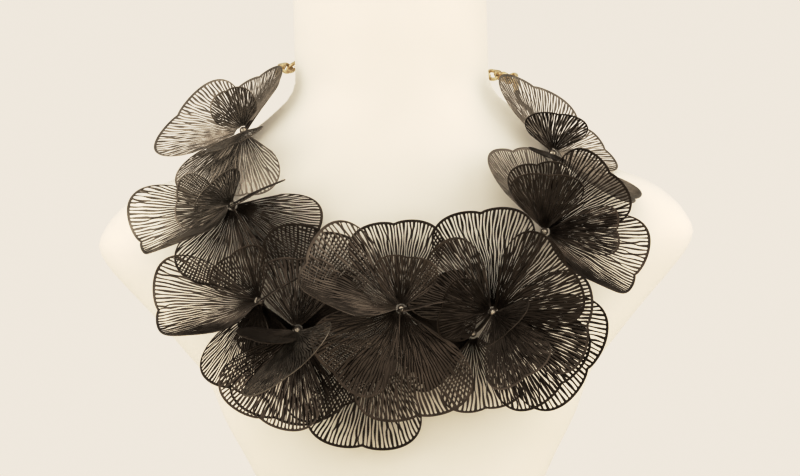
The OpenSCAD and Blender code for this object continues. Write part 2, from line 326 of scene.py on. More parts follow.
@dataclass(frozen=True)
class MattCover(Finish):
    """Moulded bust form with a matt cream coating.

    It gives the eye a soft, warm off-white with almost no sheen and a very fine grain. The grain is drawn at
    1.2 mm, coarser than the real one, so that it shows.
    """

    name: str = "matt_cream_cover"
    dark: str = "#ece7dd"
    light: str = "#f1ede5"
    metallic: float = 0.0
    roughness: float = 0.8
    patch_mm: float = 70.0
    patch_detail: float = 2.0
    tone_span: tuple[float, float] = (0.3, 0.7)
    ior: float = 1.46
    gloss: tuple[float, float] = (-0.05, 0.08)
    fine_gloss: bool = True
    fine_mm: float = 1.2
    fine_detail: float = 3.0
    dents: tuple[float, float] = (0.12, 0.2)


@dataclass(frozen=True)
class PalePlaster(Finish):
    """Smooth painted plaster of the studio floor, which gives the eye an even, pale, warm white."""

    name: str = "pale_plaster"
    dark: str = "#e6dfd4"
    light: str = "#efe9df"
    metallic: float = 0.0
    roughness: float = 0.85
    patch_mm: float = 120.0
    patch_detail: float = 4.0
    tone_span: tuple[float, float] = (0.0, 1.0)
    ior: float = 1.45


def deselect() -> None:
    """Leaves edit mode and deselects every object."""
    if bpy.context.object is not None and bpy.context.object.mode != "OBJECT":
        bpy.ops.object.mode_set(mode="OBJECT")
    for other in bpy.context.scene.objects:
        other.select_set(False)


def take(piece: bpy.types.Object) -> None:
    """Makes one object the only selected and the active one.

    Args:
        piece: The object.
    """
    deselect()
    piece.select_set(True)
    bpy.context.view_layer.objects.active = piece


def settle(piece: bpy.types.Object, angle: float = 50.0) -> bpy.types.Object:
    """Puts a piece's place into its mesh and shades its soft edges smooth.

    Args:
        piece: The piece.
        angle: Edges below this many degrees look smooth.

    Returns:
        The same piece.
    """
    take(piece)
    bpy.ops.object.transform_apply(location=True, rotation=True, scale=True)
    bpy.ops.object.shade_smooth_by_angle(angle=math.radians(angle))
    return piece


def modify(piece: bpy.types.Object, kind: str, **settings: object) -> None:
    """Adds one modifier to a piece and applies it.

    Args:
        piece: The piece.
        kind: Blender's name of the modifier's kind.
        **settings: The modifier's properties.
    """
    take(piece)
    modifier = piece.modifiers.new(kind.title(), kind)
    for name, value in settings.items():
        setattr(modifier, name, value)
    bpy.ops.object.modifier_apply(modifier=modifier.name)


def joined(parts: list[bpy.types.Object], name: str) -> bpy.types.Object:
    """Joins objects into one.

    Args:
        parts: The objects, which end up in the first.
        name: Name of the whole.

    Returns:
        The joined object.
    """
    deselect()
    for part in parts:
        part.select_set(True)
    bpy.context.view_layer.objects.active = parts[0]
    if len(parts) > 1:
        bpy.ops.object.join()
    parts[0].name = name
    parts[0].data.name = name
    return parts[0]


def mesh_piece(name: str, points: np.ndarray, faces: list[tuple[int, ...]]) -> bpy.types.Object:
    """Makes an object from points and faces.

    Args:
        name: The object's name.
        points: One row of x, y and z for each point.
        faces: Point numbers of each face.

    Returns:
        The new object.
    """
    mesh = bpy.data.meshes.new(name)
    mesh.from_pydata(points.tolist(), [], faces)
    mesh.update()
    piece = bpy.data.objects.new(name, mesh)
    bpy.context.scene.collection.objects.link(piece)
    return piece


def dress(piece: bpy.types.Object, material: bpy.types.Material, node: str) -> None:
    """Gives a piece its finish and its body, and hides the CAD node that it stands for.

    Args:
        piece: The finished piece.
        material: Its material.
        node: CAD node that it replaces.
    """
    piece.data.materials.clear()
    piece.data.materials.append(material)
    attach(piece, BODY)
    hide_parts(node)
    LOG.info("%s: %d faces, stands for %s", piece.name, len(piece.data.polygons), node)


def rod(start: Vector, end: Vector, diameter: float, sides: int = 24) -> bpy.types.Object:
    """Adds a straight round rod with softened ends.

    Args:
        start: Middle of one end.
        end: Middle of the other end.
        diameter: The rod's thickness.
        sides: Faces round it.

    Returns:
        The rod.
    """
    way = end - start
    deselect()
    bpy.ops.mesh.primitive_cylinder_add(
        vertices=sides,
        radius=diameter / 2,
        depth=way.length,
        location=(start + end) / 2,
        rotation=way.to_track_quat("Z", "Y").to_euler(),
    )
    piece = bpy.context.object
    modify(piece, "BEVEL", width=diameter * 0.1, segments=2, limit_method="ANGLE")
    return piece


def wire_along(
    name: str, route: list[Vector], diameter: float, sides: int = 5, closed: bool = False
) -> bpy.types.Object:
    """Draws a round wire along a route.

    Args:
        name: The wire's name.
        route: Points that its middle passes through.
        diameter: The wire's thickness.
        sides: Half the faces round it, less two.
        closed: Whether the wire runs back to its start.

    Returns:
        The wire as a closed mesh.
    """
    curve = bpy.data.curves.new(name, "CURVE")
    curve.dimensions = "3D"
    curve.bevel_depth = diameter / 2
    curve.bevel_resolution = sides
    curve.use_fill_caps = True
    spline = curve.splines.new("POLY")
    spline.points.add(len(route) - 1)
    spline.use_cyclic_u = closed
    for point, place in zip(spline.points, route):
        point.co = (*place, 1)
    piece = bpy.data.objects.new(name, curve)
    bpy.context.scene.collection.objects.link(piece)
    take(piece)
    bpy.ops.object.convert(target="MESH")
    return bpy.context.object


def extruded_disc(name: str, sides: int, radius: float, steps: list[float]) -> bpy.types.Object:
    """Extrudes a filled circle on the ground step by step.

    Args:
        name: The column's name.
        sides: Faces round it.
        radius: Its radius.
        steps: How far each extrusion goes up, or down if negative.

    Returns:
        The closed column.
    """
    deselect()
    bpy.ops.mesh.primitive_circle_add(vertices=sides, radius=radius, fill_type="NGON", location=(0, 0, 0))
    piece = bpy.context.object
    piece.name = name
    bpy.ops.object.mode_set(mode="EDIT")
    bpy.ops.mesh.select_all(action="SELECT")
    for step in steps:
        bpy.ops.mesh.extrude_region_move(TRANSFORM_OT_translate={"value": (0, 0, step)})
    bpy.ops.mesh.select_all(action="SELECT")
    bpy.ops.mesh.normals_make_consistent(inside=False)
    bpy.ops.object.mode_set(mode="OBJECT")
    return piece


def smooth_route(route: list[Vector], steps: int) -> list[Vector]:
    """Runs a Catmull-Rom curve through points.

    Args:
        route: The points.
        steps: Pieces that each span is cut into.

    Returns:
        Points along the curve, the given ones among them.
    """
    last = len(route) - 1
    out = []
    for i in range(last):
        p0, p1, p2, p3 = route[max(i - 1, 0)], route[i], route[i + 1], route[min(i + 2, last)]
        for k in range(steps):
            t = k / steps
            turn = 2 * p0 - 5 * p1 + 4 * p2 - p3
            out.append(0.5 * (2 * p1 + t * (p2 - p0) + t * t * turn + t**3 * (3 * p1 - p0 - 3 * p2 + p3)))
    return out + [route[last]]


# Sections of the bust: height, half width, front depth and back depth, as shares of the bust's height, half
# the shoulder width, the chest depth and half the neck width, then the squareness of the outline.
SECTIONS = (
    (0.000, 0.380, 0.820, 0.90, 2.3),
    (0.150, 0.500, 0.910, 0.90, 2.3),
    (0.240, 0.590, 0.955, 0.90, 2.3),
    (0.310, 0.645, 0.985, 0.90, 2.3),
    (0.370, 0.735, 1.000, 0.90, 2.3),
    (0.425, 0.825, 0.995, 0.91, 2.3),
    (0.475, 0.912, 0.985, 0.92, 2.3),
    (0.515, 0.975, 0.970, 0.93, 2.3),
    (0.545, 1.000, 0.955, 0.94, 2.3),
    (0.580, 0.972, 0.930, 0.95, 2.3),
    (0.610, 0.920, 0.910, 0.96, 2.3),
    (0.635, 0.850, 0.895, 0.98, 2.3),
    (0.660, 0.730, 0.880, 1.00, 2.3),
    (0.685, 0.605, 0.870, 1.00, 2.2),
    (0.730, 0.495, 0.850, 1.00, 2.1),
    (0.770, 0.395, 0.843, 1.00, 2.0),
    (0.800, 0.340, 0.841, 1.00, 2.0),
    (0.825, 0.3265, 0.841, 1.00, 2.0),
    (1.000, 0.3265, 0.841, 1.00, 2.0),
)
HEIGHT, WIDTH, FRONT, REAR, SQUARE = range(5)


@dataclass
class NeckBust:
    """The plain neck bust that wears the necklace."""

    height: float = 0.330
    shoulders: float = 0.340
    chest: float = 0.066
    neck: float = 0.111
    inside: float = 0.0005
    sides: int = 96
    rings: int = 66
    edge: float = 0.004
    finish: MattCover = field(default_factory=MattCover)

    def share(self, height: float, column: int) -> float:
        """Reads one column of the sections at a height in metres."""
        columns = list(zip(*SECTIONS))
        return float(np.interp(height / self.height, columns[HEIGHT], columns[column]))

    def soft_share(self, height: float, column: int) -> float:
        """Reads one column of the sections at a height, on a curve that never swings past the sections.

        Args:
            height: The height in metres.
            column: The column's number.

        Returns:
            The share there.
        """
        at = height / self.height
        last = len(SECTIONS) - 2
        i = next((k for k in range(last + 1) if at < SECTIONS[k + 1][HEIGHT]), last)
        span = SECTIONS[i + 1][HEIGHT] - SECTIONS[i][HEIGHT]
        low, high = SECTIONS[i][column], SECTIONS[i + 1][column]
        start, end = self.slope(i, column) * span, self.slope(i + 1, column) * span
        t = min(max((at - SECTIONS[i][HEIGHT]) / span, 0.0), 1.0)
        bend = t * (1 - t) ** 2 * start - t * t * (1 - t) * end
        return low + (high - low) * t * t * (3 - 2 * t) + bend

    @staticmethod
    def slope(i: int, column: int) -> float:
        """Gives the curve's slope at a section, which is 0 where the column turns round.

        Args:
            i: The section's number.
            column: The column's number.

        Returns:
            A slope between those of the spans below and above.
        """
        if i in (0, len(SECTIONS) - 1):
            return 0.0
        before, here, after = SECTIONS[i - 1], SECTIONS[i], SECTIONS[i + 1]
        below = (here[column] - before[column]) / (here[HEIGHT] - before[HEIGHT])
        above = (after[column] - here[column]) / (after[HEIGHT] - here[HEIGHT])
        return 2 * below * above / (below + above) if below * above > 0 else 0.0

    def chest_y(self, x: float, z: float) -> float:
        """Gives the chest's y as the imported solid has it.

        Args:
            x: The place's x.
            z: The place's z.

        Returns:
            The y there.
        """
        square = self.share(z, SQUARE)
        half = self.share(z, WIDTH) * self.shoulders / 2
        depth = self.share(z, FRONT) * self.chest
        return -depth * max(0.0, 1 - (abs(x) / half) ** square) ** (1 / square)

    def lift(self, x: float, z: float, rise: float) -> float:
        """Gives the y of a point that lies a rise above the chest, square to its surface.

        Args:
            x: The point's x.
            z: The point's z.
            rise: Distance from the surface.

        Returns:
            The point's y.
        """
        across = (self.chest_y(x + MM, z) - self.chest_y(x - MM, z)) / (2 * MM)
        upward = (self.chest_y(x, z + MM) - self.chest_y(x, z - MM)) / (2 * MM)
        return self.chest_y(x, z) - rise * math.sqrt(1 + across**2 + upward**2)

    def build(self) -> bpy.types.Object:
        """Extrudes a circle upwards, ring by ring, and shapes it to the sections.

        Returns:
            The dressed bust.
        """
        piece = extruded_disc("bust_cover_form", self.sides, 1.0, [self.height / self.rings] * self.rings)
        for vertex in piece.data.vertices:
            self.shape(vertex)
        corner = math.radians(50)
        modify(piece, "BEVEL", width=self.edge, segments=4, limit_method="ANGLE", angle_limit=corner)
        settle(piece, 60)
        dress(piece, self.finish.material(), "bust_form")
        return piece

    def shape(self, vertex: bpy.types.MeshVertex) -> None:
        """Moves a vertex of the plain column onto the bust's surface.

        Args:
            vertex: The vertex.
        """
        x, y, z = vertex.co
        angle = math.atan2(y, x)
        power = 2 / self.soft_share(z, SQUARE)
        front = math.sin(angle) < 0
        depth = self.soft_share(z, FRONT) * self.chest if front else self.soft_share(z, REAR) * self.neck / 2
        half = self.soft_share(z, WIDTH) * self.shoulders / 2 - self.inside
        reach_x = math.copysign(abs(math.cos(angle)) ** power, math.cos(angle))
        reach_y = math.copysign(abs(math.sin(angle)) ** power, math.sin(angle))
        vertex.co = (half * reach_x, (depth - self.inside) * reach_y, z)


def hung(x: float, z: float) -> tuple[float, float]:
    """Turns a place of the necklace about the bust's middle, clockwise as the viewer sees it.

    Args:
        x: Its x in millimetres.
        z: Its z in millimetres.

    Returns:
        The x and z where the necklace really hangs.
    """
    rise = z - HANG_Z
    across = x * math.cos(HANG_TURN) + rise * math.sin(HANG_TURN)
    return across, HANG_Z - x * math.sin(HANG_TURN) + rise * math.cos(HANG_TURN)


# Points where the leaf stems of each flower meet, in millimetres.
FLOWERS = {
    "a": (-86, -46, 241),
    "b": (-92, -66, 199),
    "c": (-76, -76, 145),
    "d": (-55, -84, 129),
    "e": (3, -98, 141),
    "f": (54, -84, 139),
    "g": (83, -74, 184),
    "h": (88, -52, 228),
    "i": (-15, -76, 122),
    "j": (43, -72, 127),
}


@dataclass(frozen=True)
class Leaf:
    """One leaf: a two-lobed fan of fine slats. Lengths are in millimetres and angles in degrees.

    turn is the direction in which it points, tilt leans it to the viewer, roll brings its counter-clockwise
    side forward, cup and curl bend its sides and its tip forward, seat is how far behind the flower's point
    it sits, and half is half of the fan's angle.
    """

    name: str
    length: float
    turn: float
    tilt: float
    roll: float
    cup: float
    curl: float
    seat: float
    half: float

    @property
    def flower(self) -> str:
        """Names the leaf's flower."""
        return self.name[0]


LEAVES = (
    Leaf("a1", 60, 171, -50, 37, 17, 11, 0, 45),
    Leaf("a2", 50, 69, -50, -55, 11, 11, 3, 34),
    Leaf("a3", 33, 112, 35, 0, 130, 11, -1, 44),
    Leaf("a4", 34, -110, 68, 44, 23, 11, -1, 47),
    Leaf("a5", 52, 234, 18, 0, 46, 0, 5, 27),
    Leaf("a6", 43, -86, 35, 0, 69, -17, 2, 42),
    Leaf("b1", 59, 206, 3, 45, 126, 11, 0, 47),
    Leaf("b2", 34, 134, 55, 0, 23, 11, -2, 43),
    Leaf("b3", 40, 175, 32, 0, 34, 11, 0, 34),
    Leaf("b6", 37, 34, 50, 85, 17, 11, -1, 47),
    Leaf("b7", 52, -24, 4, 0, 17, 0, 2, 36),
    Leaf("b8", 49, 258, 5, 0, 23, 0, 1, 47),
    Leaf("c1", 61, 188, 0, 35, 103, 11, 0, 47),
    Leaf("c2", 36, 123, 22, 0, 17, 11, -1, 44),
    Leaf("c3", 54, 252, 6, 0, 46, 0, 2, 35),
    Leaf("c4", 34, 44, 60, 80, 17, 11, -3, 47),
    Leaf("c5", 46, -76, 0, 0, 17, 0, 5, 30),
    Leaf("d1", 36, 198, 40, 66, 17, 11, -2, 47),
    Leaf("d2", 62, -92, 61, 42, 29, 11, -2, 47),
    Leaf("d3", 42, 90, -6, 0, 17, 0, 4, 47),
    Leaf("d4", 60, 247, 15, 0, 17, 11, 1, 44),
    Leaf("d5", 56, -104, 12, 0, 17, 11, 3, 47),
    Leaf("d6", 54, -58, 8, 0, 17, 11, 5, 47),
    Leaf("d7", 60, 75, -3, 0, 17, 0, 12, 47),
    Leaf("d8", 45, 30, -2, 0, 17, 0, 8, 34),
    Leaf("d9", 35, 178, 0, 0, 17, 0, 15, 34),
    Leaf("e1", 63, 157, 3, 35, 103, 11, 0, 47),
    Leaf("e2", 34, 83, 20, 0, 17, 11, -1, 47),
    Leaf("e3", 31, 18, 52, 85, 17, 11, -1, 47),
    Leaf("e4", 55, 223, 4, 0, 46, -11, 0, 43),
    Leaf("e5", 64, -81, -3, 0, 17, 0, 4, 47),
    Leaf("e6", 51, 95, -8, 0, 17, 0, 16, 47),
    Leaf("e7", 43, 3, -6, 0, 17, 0, 13, 41),
    Leaf("f1", 60, 97, 2, 0, 17, 11, 6, 43),
    Leaf("f2", 51, 145, 10, -6, 17, 11, 2, 44),
    Leaf("f3", 56, 33, 17, 0, 17, 11, 1, 46),
    Leaf("f4", 36, -48, 62, 0, 23, 11, -1, 47),
    Leaf("f5", 49, -62, 26, 10, 17, 11, -1, 36),
    Leaf("f6", 66, -31, -2, 0, 17, 11, 6, 47),
    Leaf("f8", 37, 172, 30, -15, 17, 11, -1, 44),
    Leaf("f9", 60, -46, 6, 0, 17, 11, 4, 47),
    Leaf("f10", 58, -8, 7, 0, 17, 11, 2.5, 45),
    Leaf("g1", 47, 87, 40, 0, 17, 11, -2, 38),
    Leaf("g2", 55, 111, -21, 41, 8, 0, 0, 34),
    Leaf("g3", 54, 42, 10, 0, 17, 11, 0, 40),
    Leaf("g4", 45, 1, 14, 0, 17, 11, -1, 26),
    Leaf("g5", 60, -29, 0, -38, 103, 11, 1, 47),
    Leaf("g6", 44, 97, 20, 0, 17, 11, -1, 34),
    Leaf("h1", 60, 110, -49, 51, 11, 11, 0, 42),
    Leaf("h2", 34, 83, 42, 0, 17, 11, -1, 47),
    Leaf("h3", 44, 0, -46, -45, 17, 11, 9, 35),
    Leaf("h4", 22, 215, 72, 35, 17, 11, -3, 47),
    Leaf("h5", 56, -34, 5, -73, 23, 11, 0, 32),
    Leaf("i1", 62, -94, -5, 0, 17, 0, 0, 47),
    Leaf("j1", 45, -80, 0, 0, 17, 0, 0, 47),
    Leaf("j2", 46, 205, 0, 0, 17, 0, 1, 36),
)


def flower_point(flower: str) -> tuple[float, float, float]:
    """Gives the point where a flower's stems meet.

    Args:
        flower: The flower's letter.

    Returns:
        Its x, y and z in millimetres.
    """
    x, y, z = FLOWERS[flower]
    across, up = hung(x, z)
    return across, y, up


def flower_front(flower: str) -> float:
    """Gives the foremost seat of a flower's leaves, in millimetres."""
    return min(leaf.seat for leaf in LEAVES if leaf.flower == flower)


@dataclass
class LeafSurface:
    """The curved sheet that a leaf's slats lie on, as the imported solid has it. Millimetres.

    notch is the notch between the two lobes, shoulder how much the rim falls off at the sides, and waist how
    much narrower the fan is at the stem, which fades out over waist_share of the length.
    """

    leaf: Leaf
    notch: float = 0.06
    lobe_power: float = 0.6
    shoulder: float = 0.42
    shoulder_power: float = 5.4
    waist: float = 0.6
    waist_share: float = 0.12
    start: float = 3.1
    stem_angle: float = 26.0

    def rim_share(self, across: np.ndarray) -> np.ndarray:
        """Gives the rim's distance from the stem as a share of the length.

        Args:
            across: Places over the fan, from -1 to 1.

        Returns:
            The share at each place.
        """
        lobes = 1 - self.notch + self.notch * np.abs(np.sin(math.pi * across)) ** self.lobe_power
        return lobes * (1 - self.shoulder * np.abs(across) ** self.shoulder_power)

    def stem_from(self) -> float:
        """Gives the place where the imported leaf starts.

        Returns:
            Its distance from the flower's point.
        """
        leaf = self.leaf
        tilt, roll = math.radians(leaf.tilt), math.radians(leaf.roll)
        behind = leaf.seat - flower_front(leaf.flower)
        angles = (math.radians(a) for a in (-self.stem_angle, 0, self.stem_angle))
        steepest = max(
            abs(math.cos(a) * math.sin(tilt) + math.sin(a) * math.cos(tilt) * math.sin(roll)) for a in angles
        )
        beside = self.start / math.sqrt(1 - steepest**2)
        if beside * math.sin(tilt) <= behind:
            return beside
        return behind * math.sin(tilt) + math.sqrt(self.start**2 - (behind * math.cos(tilt)) ** 2)

    def out(self, across: np.ndarray, along: np.ndarray) -> np.ndarray:
        """Gives the distance from the flower's point.

        Args:
            across: Places over the fan.
            along: Places from the stem, 0, to the rim, 1.

        Returns:
            The distance in millimetres at each place.
        """
        start = self.stem_from()
        return start + along * (self.leaf.length * self.rim_share(across) - start)

    def spread(self, across: np.ndarray, out: np.ndarray) -> np.ndarray:
        """Gives the half angle of the fan at each place, in radians."""
        reach = self.leaf.length * self.rim_share(across)
        return math.radians(self.leaf.half) * (1 - self.waist * np.exp(-out / reach / self.waist_share))

    def bent(self, angle: float, way: np.ndarray) -> tuple[np.ndarray, np.ndarray, np.ndarray]:
        """Lays a distance along an arc.

        Args:
            angle: The arc's angle over the leaf's length, in degrees.
            way: Distances along the arc.

        Returns:
            Distance ahead, height and slope at each place.
        """
        if angle == 0:
            return way, np.zeros_like(way), np.zeros_like(way)
        radius = self.leaf.length / math.radians(angle)
        turned = way / radius
        return radius * np.sin(turned), radius * (1 - np.cos(turned)), np.tan(turned)

    def points(self, across: np.ndarray, along: np.ndarray, rise: np.ndarray) -> np.ndarray:
        """Places points on the sheet.

        Args:
            across: Places over the fan, from -1 to 1.
            along: Places from the stem to the rim.
            rise: Height above the sheet in millimetres.

        Returns:
            One row of x, y and z for each place, in millimetres.
        """
        leaf = self.leaf
        out = self.out(across, along)
        angle = across * self.spread(across, out)
        u, u_up, u_slope = self.bent(leaf.curl, out * np.cos(angle))
        v, v_up, v_slope = self.bent(leaf.cup, out * np.sin(angle))
        turn, tilt, roll = (math.radians(a) for a in (leaf.turn, leaf.tilt, leaf.roll))
        turn -= HANG_TURN
        lean = math.sin(tilt)
        ahead = np.array([math.cos(tilt) * math.cos(turn), -lean, math.cos(tilt) * math.sin(turn)])
        flat_side = np.array([-math.sin(turn), 0, math.cos(turn)])
        flat_up = np.array([-lean * math.cos(turn), -math.cos(tilt), -lean * math.sin(turn)])
        left = flat_side * math.cos(roll) + flat_up * math.sin(roll)
        up = flat_up * math.cos(roll) - flat_side * math.sin(roll)
        normal = up - u_slope[:, None] * ahead - v_slope[:, None] * left
        normal /= np.linalg.norm(normal, axis=1, keepdims=True)
        base = np.array(flower_point(leaf.flower)) + np.array([0, leaf.seat, 0])
        flat = base + u[:, None] * ahead + v[:, None] * left + (u_up + v_up)[:, None] * up
        return flat + rise[:, None] * normal


def soft_step(share: float) -> float:
    """Rises softly from 0 to 1 as the share does, and stays there beyond."""
    kept = min(max(share, 0.0), 1.0)
    return kept * kept * (3 - 2 * kept)


@dataclass(frozen=True)
class Cut:
    """How a leaf is cut into slats.

    solid is a slat's share of the room between two gaps, widest its greatest width in millimetres, begins the
    share of the leaf's length below which nothing is cut, and fold how much more solid the slats get towards
    the side that is folded forward.
    """

    solid: float
    widest: float
    begins: float = 0.0
    fold: float = 0.0


# Leaves are cut open, open with a close fold, dense, only towards the rim where others cover them, or
# hardly at all.
OPEN = Cut(0.42, 0.85)
FOLDED = Cut(0.42, 0.85, 0.0, 0.4)
DENSE = Cut(0.52, 1.1)
BACK = Cut(0.45, 0.9, 0.35)
SCREEN = Cut(0.6, 1.3, 0.92)
CUTS = {
    **dict.fromkeys(("b1", "c1", "e1", "g2", "g5"), FOLDED),
    **dict.fromkeys(("a3", "a5", "b2", "d3", "e2", "e4", "e5"), DENSE),
    **dict.fromkeys(("f3", "f5", "f8", "g1", "g6", "h2", "h5"), DENSE),
    **dict.fromkeys(("c5", "d5", "d6", "f6", "f9", "i1"), BACK),
    **dict.fromkeys(("d1", "d8", "d9", "e7", "j2"), SCREEN),
}

# Painted shade and painted light: leaves that lie in shade get a darker copy of the one leaf lacquer,
# and leaves that catch more light get a little paler or a paler copy, in this order.
SHADED_LEAVES = ("c5", "d5", "d6", "d7", "d8", "d9", "e6", "e7", "f1", "f3", "f6", "f8", "f9", "g3", "i1", "j2")
HALF_LIT_LEAVES = ("c1", "e1")
LIT_LEAVES = ("a1", "a2", "a3", "a4", "a5", "a6", "b1", "b2", "b3", "d2", "g2", "h1", "h3", "h5")

# Where the gaps of a leaf of usual length start, by turns close to the stem and further out: nearest and
# furthest, in millimetres.
USUAL_LENGTH = 60
GAP_STARTS = ((4.5, 6.5), (15, 32), (7, 12.5), (15, 32))


@dataclass
class SlatSheet:
    """The slats of one leaf: gaps that start near the stem and run to a thin rim. Millimetres.

    Points lie in rows about row_step apart, and row_power draws the rows together towards the rim. sheet is
    the sheet's thickness, rim the width of the solid rim, blunt the uncut stretch before it, ridge the rise
    of a slat's middle, and thinnest a slat's least width.

    Each gap wavers by itself in waves of a length from wavers, and all sway together in one from sways. The
    sway fades out at the sides, and both fade in over calm. A gap opens over taper, and nothing narrower
    than least_gap is cut. In a leaf that is cut late, the starts vary by begins_vary. Where few of the
    neighbours on each side are open, a gap takes up their room, until least_open of them are left.

    At as many gaps as merges says, the two slats touch, at merge_at of the leaf's length and over
    merge_length, and the gaps beside these widen towards them by lean. merge_rise is how fast slats come to
    touch, merge_margin keeps touches off the sides, and merge_apart keeps them off each other.
    """

    surface: LeafSurface
    cut: Cut = OPEN
    slats: int = 40
    row_step: float = 2.2
    row_power: float = 0.92
    sheet: float = 0.4
    rim: float = 1.15
    blunt: float = 0.35
    ridge: float = 0.2
    thinnest: float = 0.34
    least_gap: float = 0.06
    least_open: float = 0.25
    neighbours: int = 4
    begins_vary: tuple[float, float] = (0.9, 1.1)
    taper: float = 3.5
    phase: float = 6.3
    waver: float = 0.3
    wavers: tuple[float, float] = (13, 24)
    sway: float = 0.9
    sways: tuple[float, float] = (38, 60)
    calm: float = 20.0
    merges: int = 9
    merge_at: tuple[float, float] = (0.5, 0.88)
    merge_length: tuple[float, float] = (2.5, 6.0)
    merge_rise: float = 1.6
    merge_margin: int = 4
    merge_apart: int = 2
    lean: float = 0.35
    smooth_below: float = 42.0

    def __post_init__(self) -> None:
        """Draws the leaf's own irregularities from its name."""
        self.dice = random.Random(f"slats {self.surface.leaf.name}")
        length = self.surface.leaf.length
        self.starts = [0.0] * (self.slats + 1)
        for gap in range(1, self.slats):
            share = self.cut.begins * self.dice.uniform(*self.begins_vary)
            start = self.dice.uniform(*GAP_STARTS[gap % len(GAP_STARTS)]) * length / USUAL_LENGTH
            self.starts[gap] = max(start, share * length)
        self.phases = [self.draw_wave(self.wavers) for _ in self.starts]
        self.common = self.draw_wave(self.sways)
        self.joins = self.draw_joins()

    def draw_wave(self, lengths: tuple[float, float]) -> tuple[float, float]:
        """Draws the phase and the length of one wave."""
        return self.dice.uniform(0, self.phase), self.dice.uniform(*lengths)

    def draw_joins(self) -> dict[int, tuple[float, float]]:
        """Picks the gaps that close for a few millimetres where two slats touch.

        Returns:
            Middle and length of each touch, in millimetres, by the number of the gap.
        """
        length = self.surface.leaf.length
        free = list(range(self.merge_margin, self.slats + 1 - self.merge_margin))
        joins = {}
        for _ in range(self.merges):
            if not free:
                break
            gap = self.dice.choice(free)
            free = [g for g in free if abs(g - gap) > self.merge_apart]
            joins[gap] = (self.dice.uniform(*self.merge_at) * length, self.dice.uniform(*self.merge_length))
        return joins

    def rows(self) -> list[float]:
        """Gives the rows from stem to rim, the last three of them on the rim.

        Returns:
            The rows as shares of the reach along the middle line.
        """
        reach = self.surface.leaf.length * (1 - self.surface.notch) - self.surface.stem_from()
        inner = 1 - (self.rim + self.blunt) / reach
        count = max(8, round(inner * reach / self.row_step))
        slatted = [inner * (i / count) ** self.row_power for i in range(count + 1)]
        return slatted + [1 - self.rim / reach, 1 - self.rim / reach / 2, 1]

    def build(self) -> bpy.types.Object:
        """Lays out the slats and gives the sheet its thickness.

        Returns:
            The leaf in metres.
        """
        rows = self.rows()
        last = len(rows) - 1
        across, along, rise, index = [], [], [], {}

        def point(key: tuple[int, int, str], t: float, height: float) -> None:
            """Keeps a new point.

            Args:
                key: Its row, its slat and its side of the slat.
                t: Its place over the fan.
                height: Its height above the sheet in millimetres.
            """
            index[key] = len(across)
            across.append(t)
            along.append(rows[key[0]])
            rise.append(height)

        for row in range(len(rows)):
            edges = self.edges(rows[row], 0 < row < last - 2)
            bead = self.ridge if row == last - 1 else 0.0
            crown = 0.0 if row in (0, last) else self.ridge
            for slat in range(self.slats):
                left, right = edges[slat][1], edges[slat + 1][0]
                if slat and edges[slat][0] == edges[slat][1]:
                    index[row, slat, "left"] = index[row, slat - 1, "right"]
                else:
                    point((row, slat, "left"), left, bead)
                point((row, slat, "crown"), (left + right) / 2, crown)
                point((row, slat, "right"), right, bead)
        faces = [
            (index[row, slat, a], index[row + 1, slat, a], index[row + 1, slat, b], index[row, slat, b])
            for row in range(last)
            for slat in range(self.slats)
            for a, b in (("left", "crown"), ("crown", "right"))
        ]
        points = self.surface.points(np.array(across), np.array(along), np.array(rise))
        piece = mesh_piece(f"slatted_leaf_{self.surface.leaf.name}", points * MM, faces)
        modify(piece, "SOLIDIFY", thickness=self.sheet * MM, offset=0.0)
        return settle(piece, self.smooth_below)

    def edges(self, along: float, cut: bool) -> list[tuple[float, float]]:
        """Gives the two edges of every gap in one row.

        Args:
            along: The row's place from the stem to the rim.
            cut: Whether the gaps may be open here.

        Returns:
            Left and right edge of each gap over the fan, the two sides of the leaf included.
        """
        middles = np.array([2 * gap / self.slats - 1 for gap in range(self.slats + 1)])
        out = self.surface.out(middles, np.full_like(middles, along))
        per_share = self.surface.spread(middles, out) * out
        openings = [self.opening(gap, out[gap]) if cut else 0.0 for gap in range(self.slats + 1)]
        edges = []
        for gap, middle in enumerate(middles):
            if gap in (0, self.slats):
                edges.append((middle, middle))
                continue
            wide = self.width(gap, middle, 2 / self.slats * per_share[gap], openings)
            shift = self.shift(gap, middle, out[gap])
            left = shift - wide * (0.5 + self.lean * self.touch(gap - 1, out[gap]))
            right = shift + wide * (0.5 + self.lean * self.touch(gap + 1, out[gap]))
            if right - left < self.least_gap:
                left = right = (left + right) / 2
            edges.append((middle + left / per_share[gap], middle + right / per_share[gap]))
        return edges

    def width(self, gap: int, middle: float, room: float, openings: list[float]) -> float:
        """Gives the width of a gap in one row.

        Args:
            gap: The gap's number.
            middle: Its place over the fan.
            room: Distance from gap to gap in this row.
            openings: How far each gap is open in this row, from 0 to 1.

        Returns:
            The width in millimetres.
        """
        near = openings[max(1, gap - self.neighbours) : min(self.slats, gap + self.neighbours + 1)]
        pitch = room / max(sum(near) / len(near), self.least_open)
        fold = self.cut.fold * max(0.0, middle * math.copysign(1, self.surface.leaf.roll))
        solid = min(max(pitch * (self.cut.solid + fold), self.thinnest), self.cut.widest * (1 + 2 * fold))
        return max(0.0, pitch - solid) * openings[gap]

    def shift(self, gap: int, middle: float, out: float) -> float:
        """Gives how far a gap wavers and sways to the side.

        Args:
            gap: The gap's number.
            middle: Its place over the fan.
            out: Distance from the flower's point.

        Returns:
            The shift in millimetres.
        """
        phase, wave = self.phases[gap]
        common_phase, common_wave = self.common
        alone = self.waver * math.sin(out * math.tau / wave + phase)
        together = self.sway * math.sin(out * math.tau / common_wave + common_phase) * (1 - abs(middle))
        return (alone + together) * min(1.0, out / self.calm)

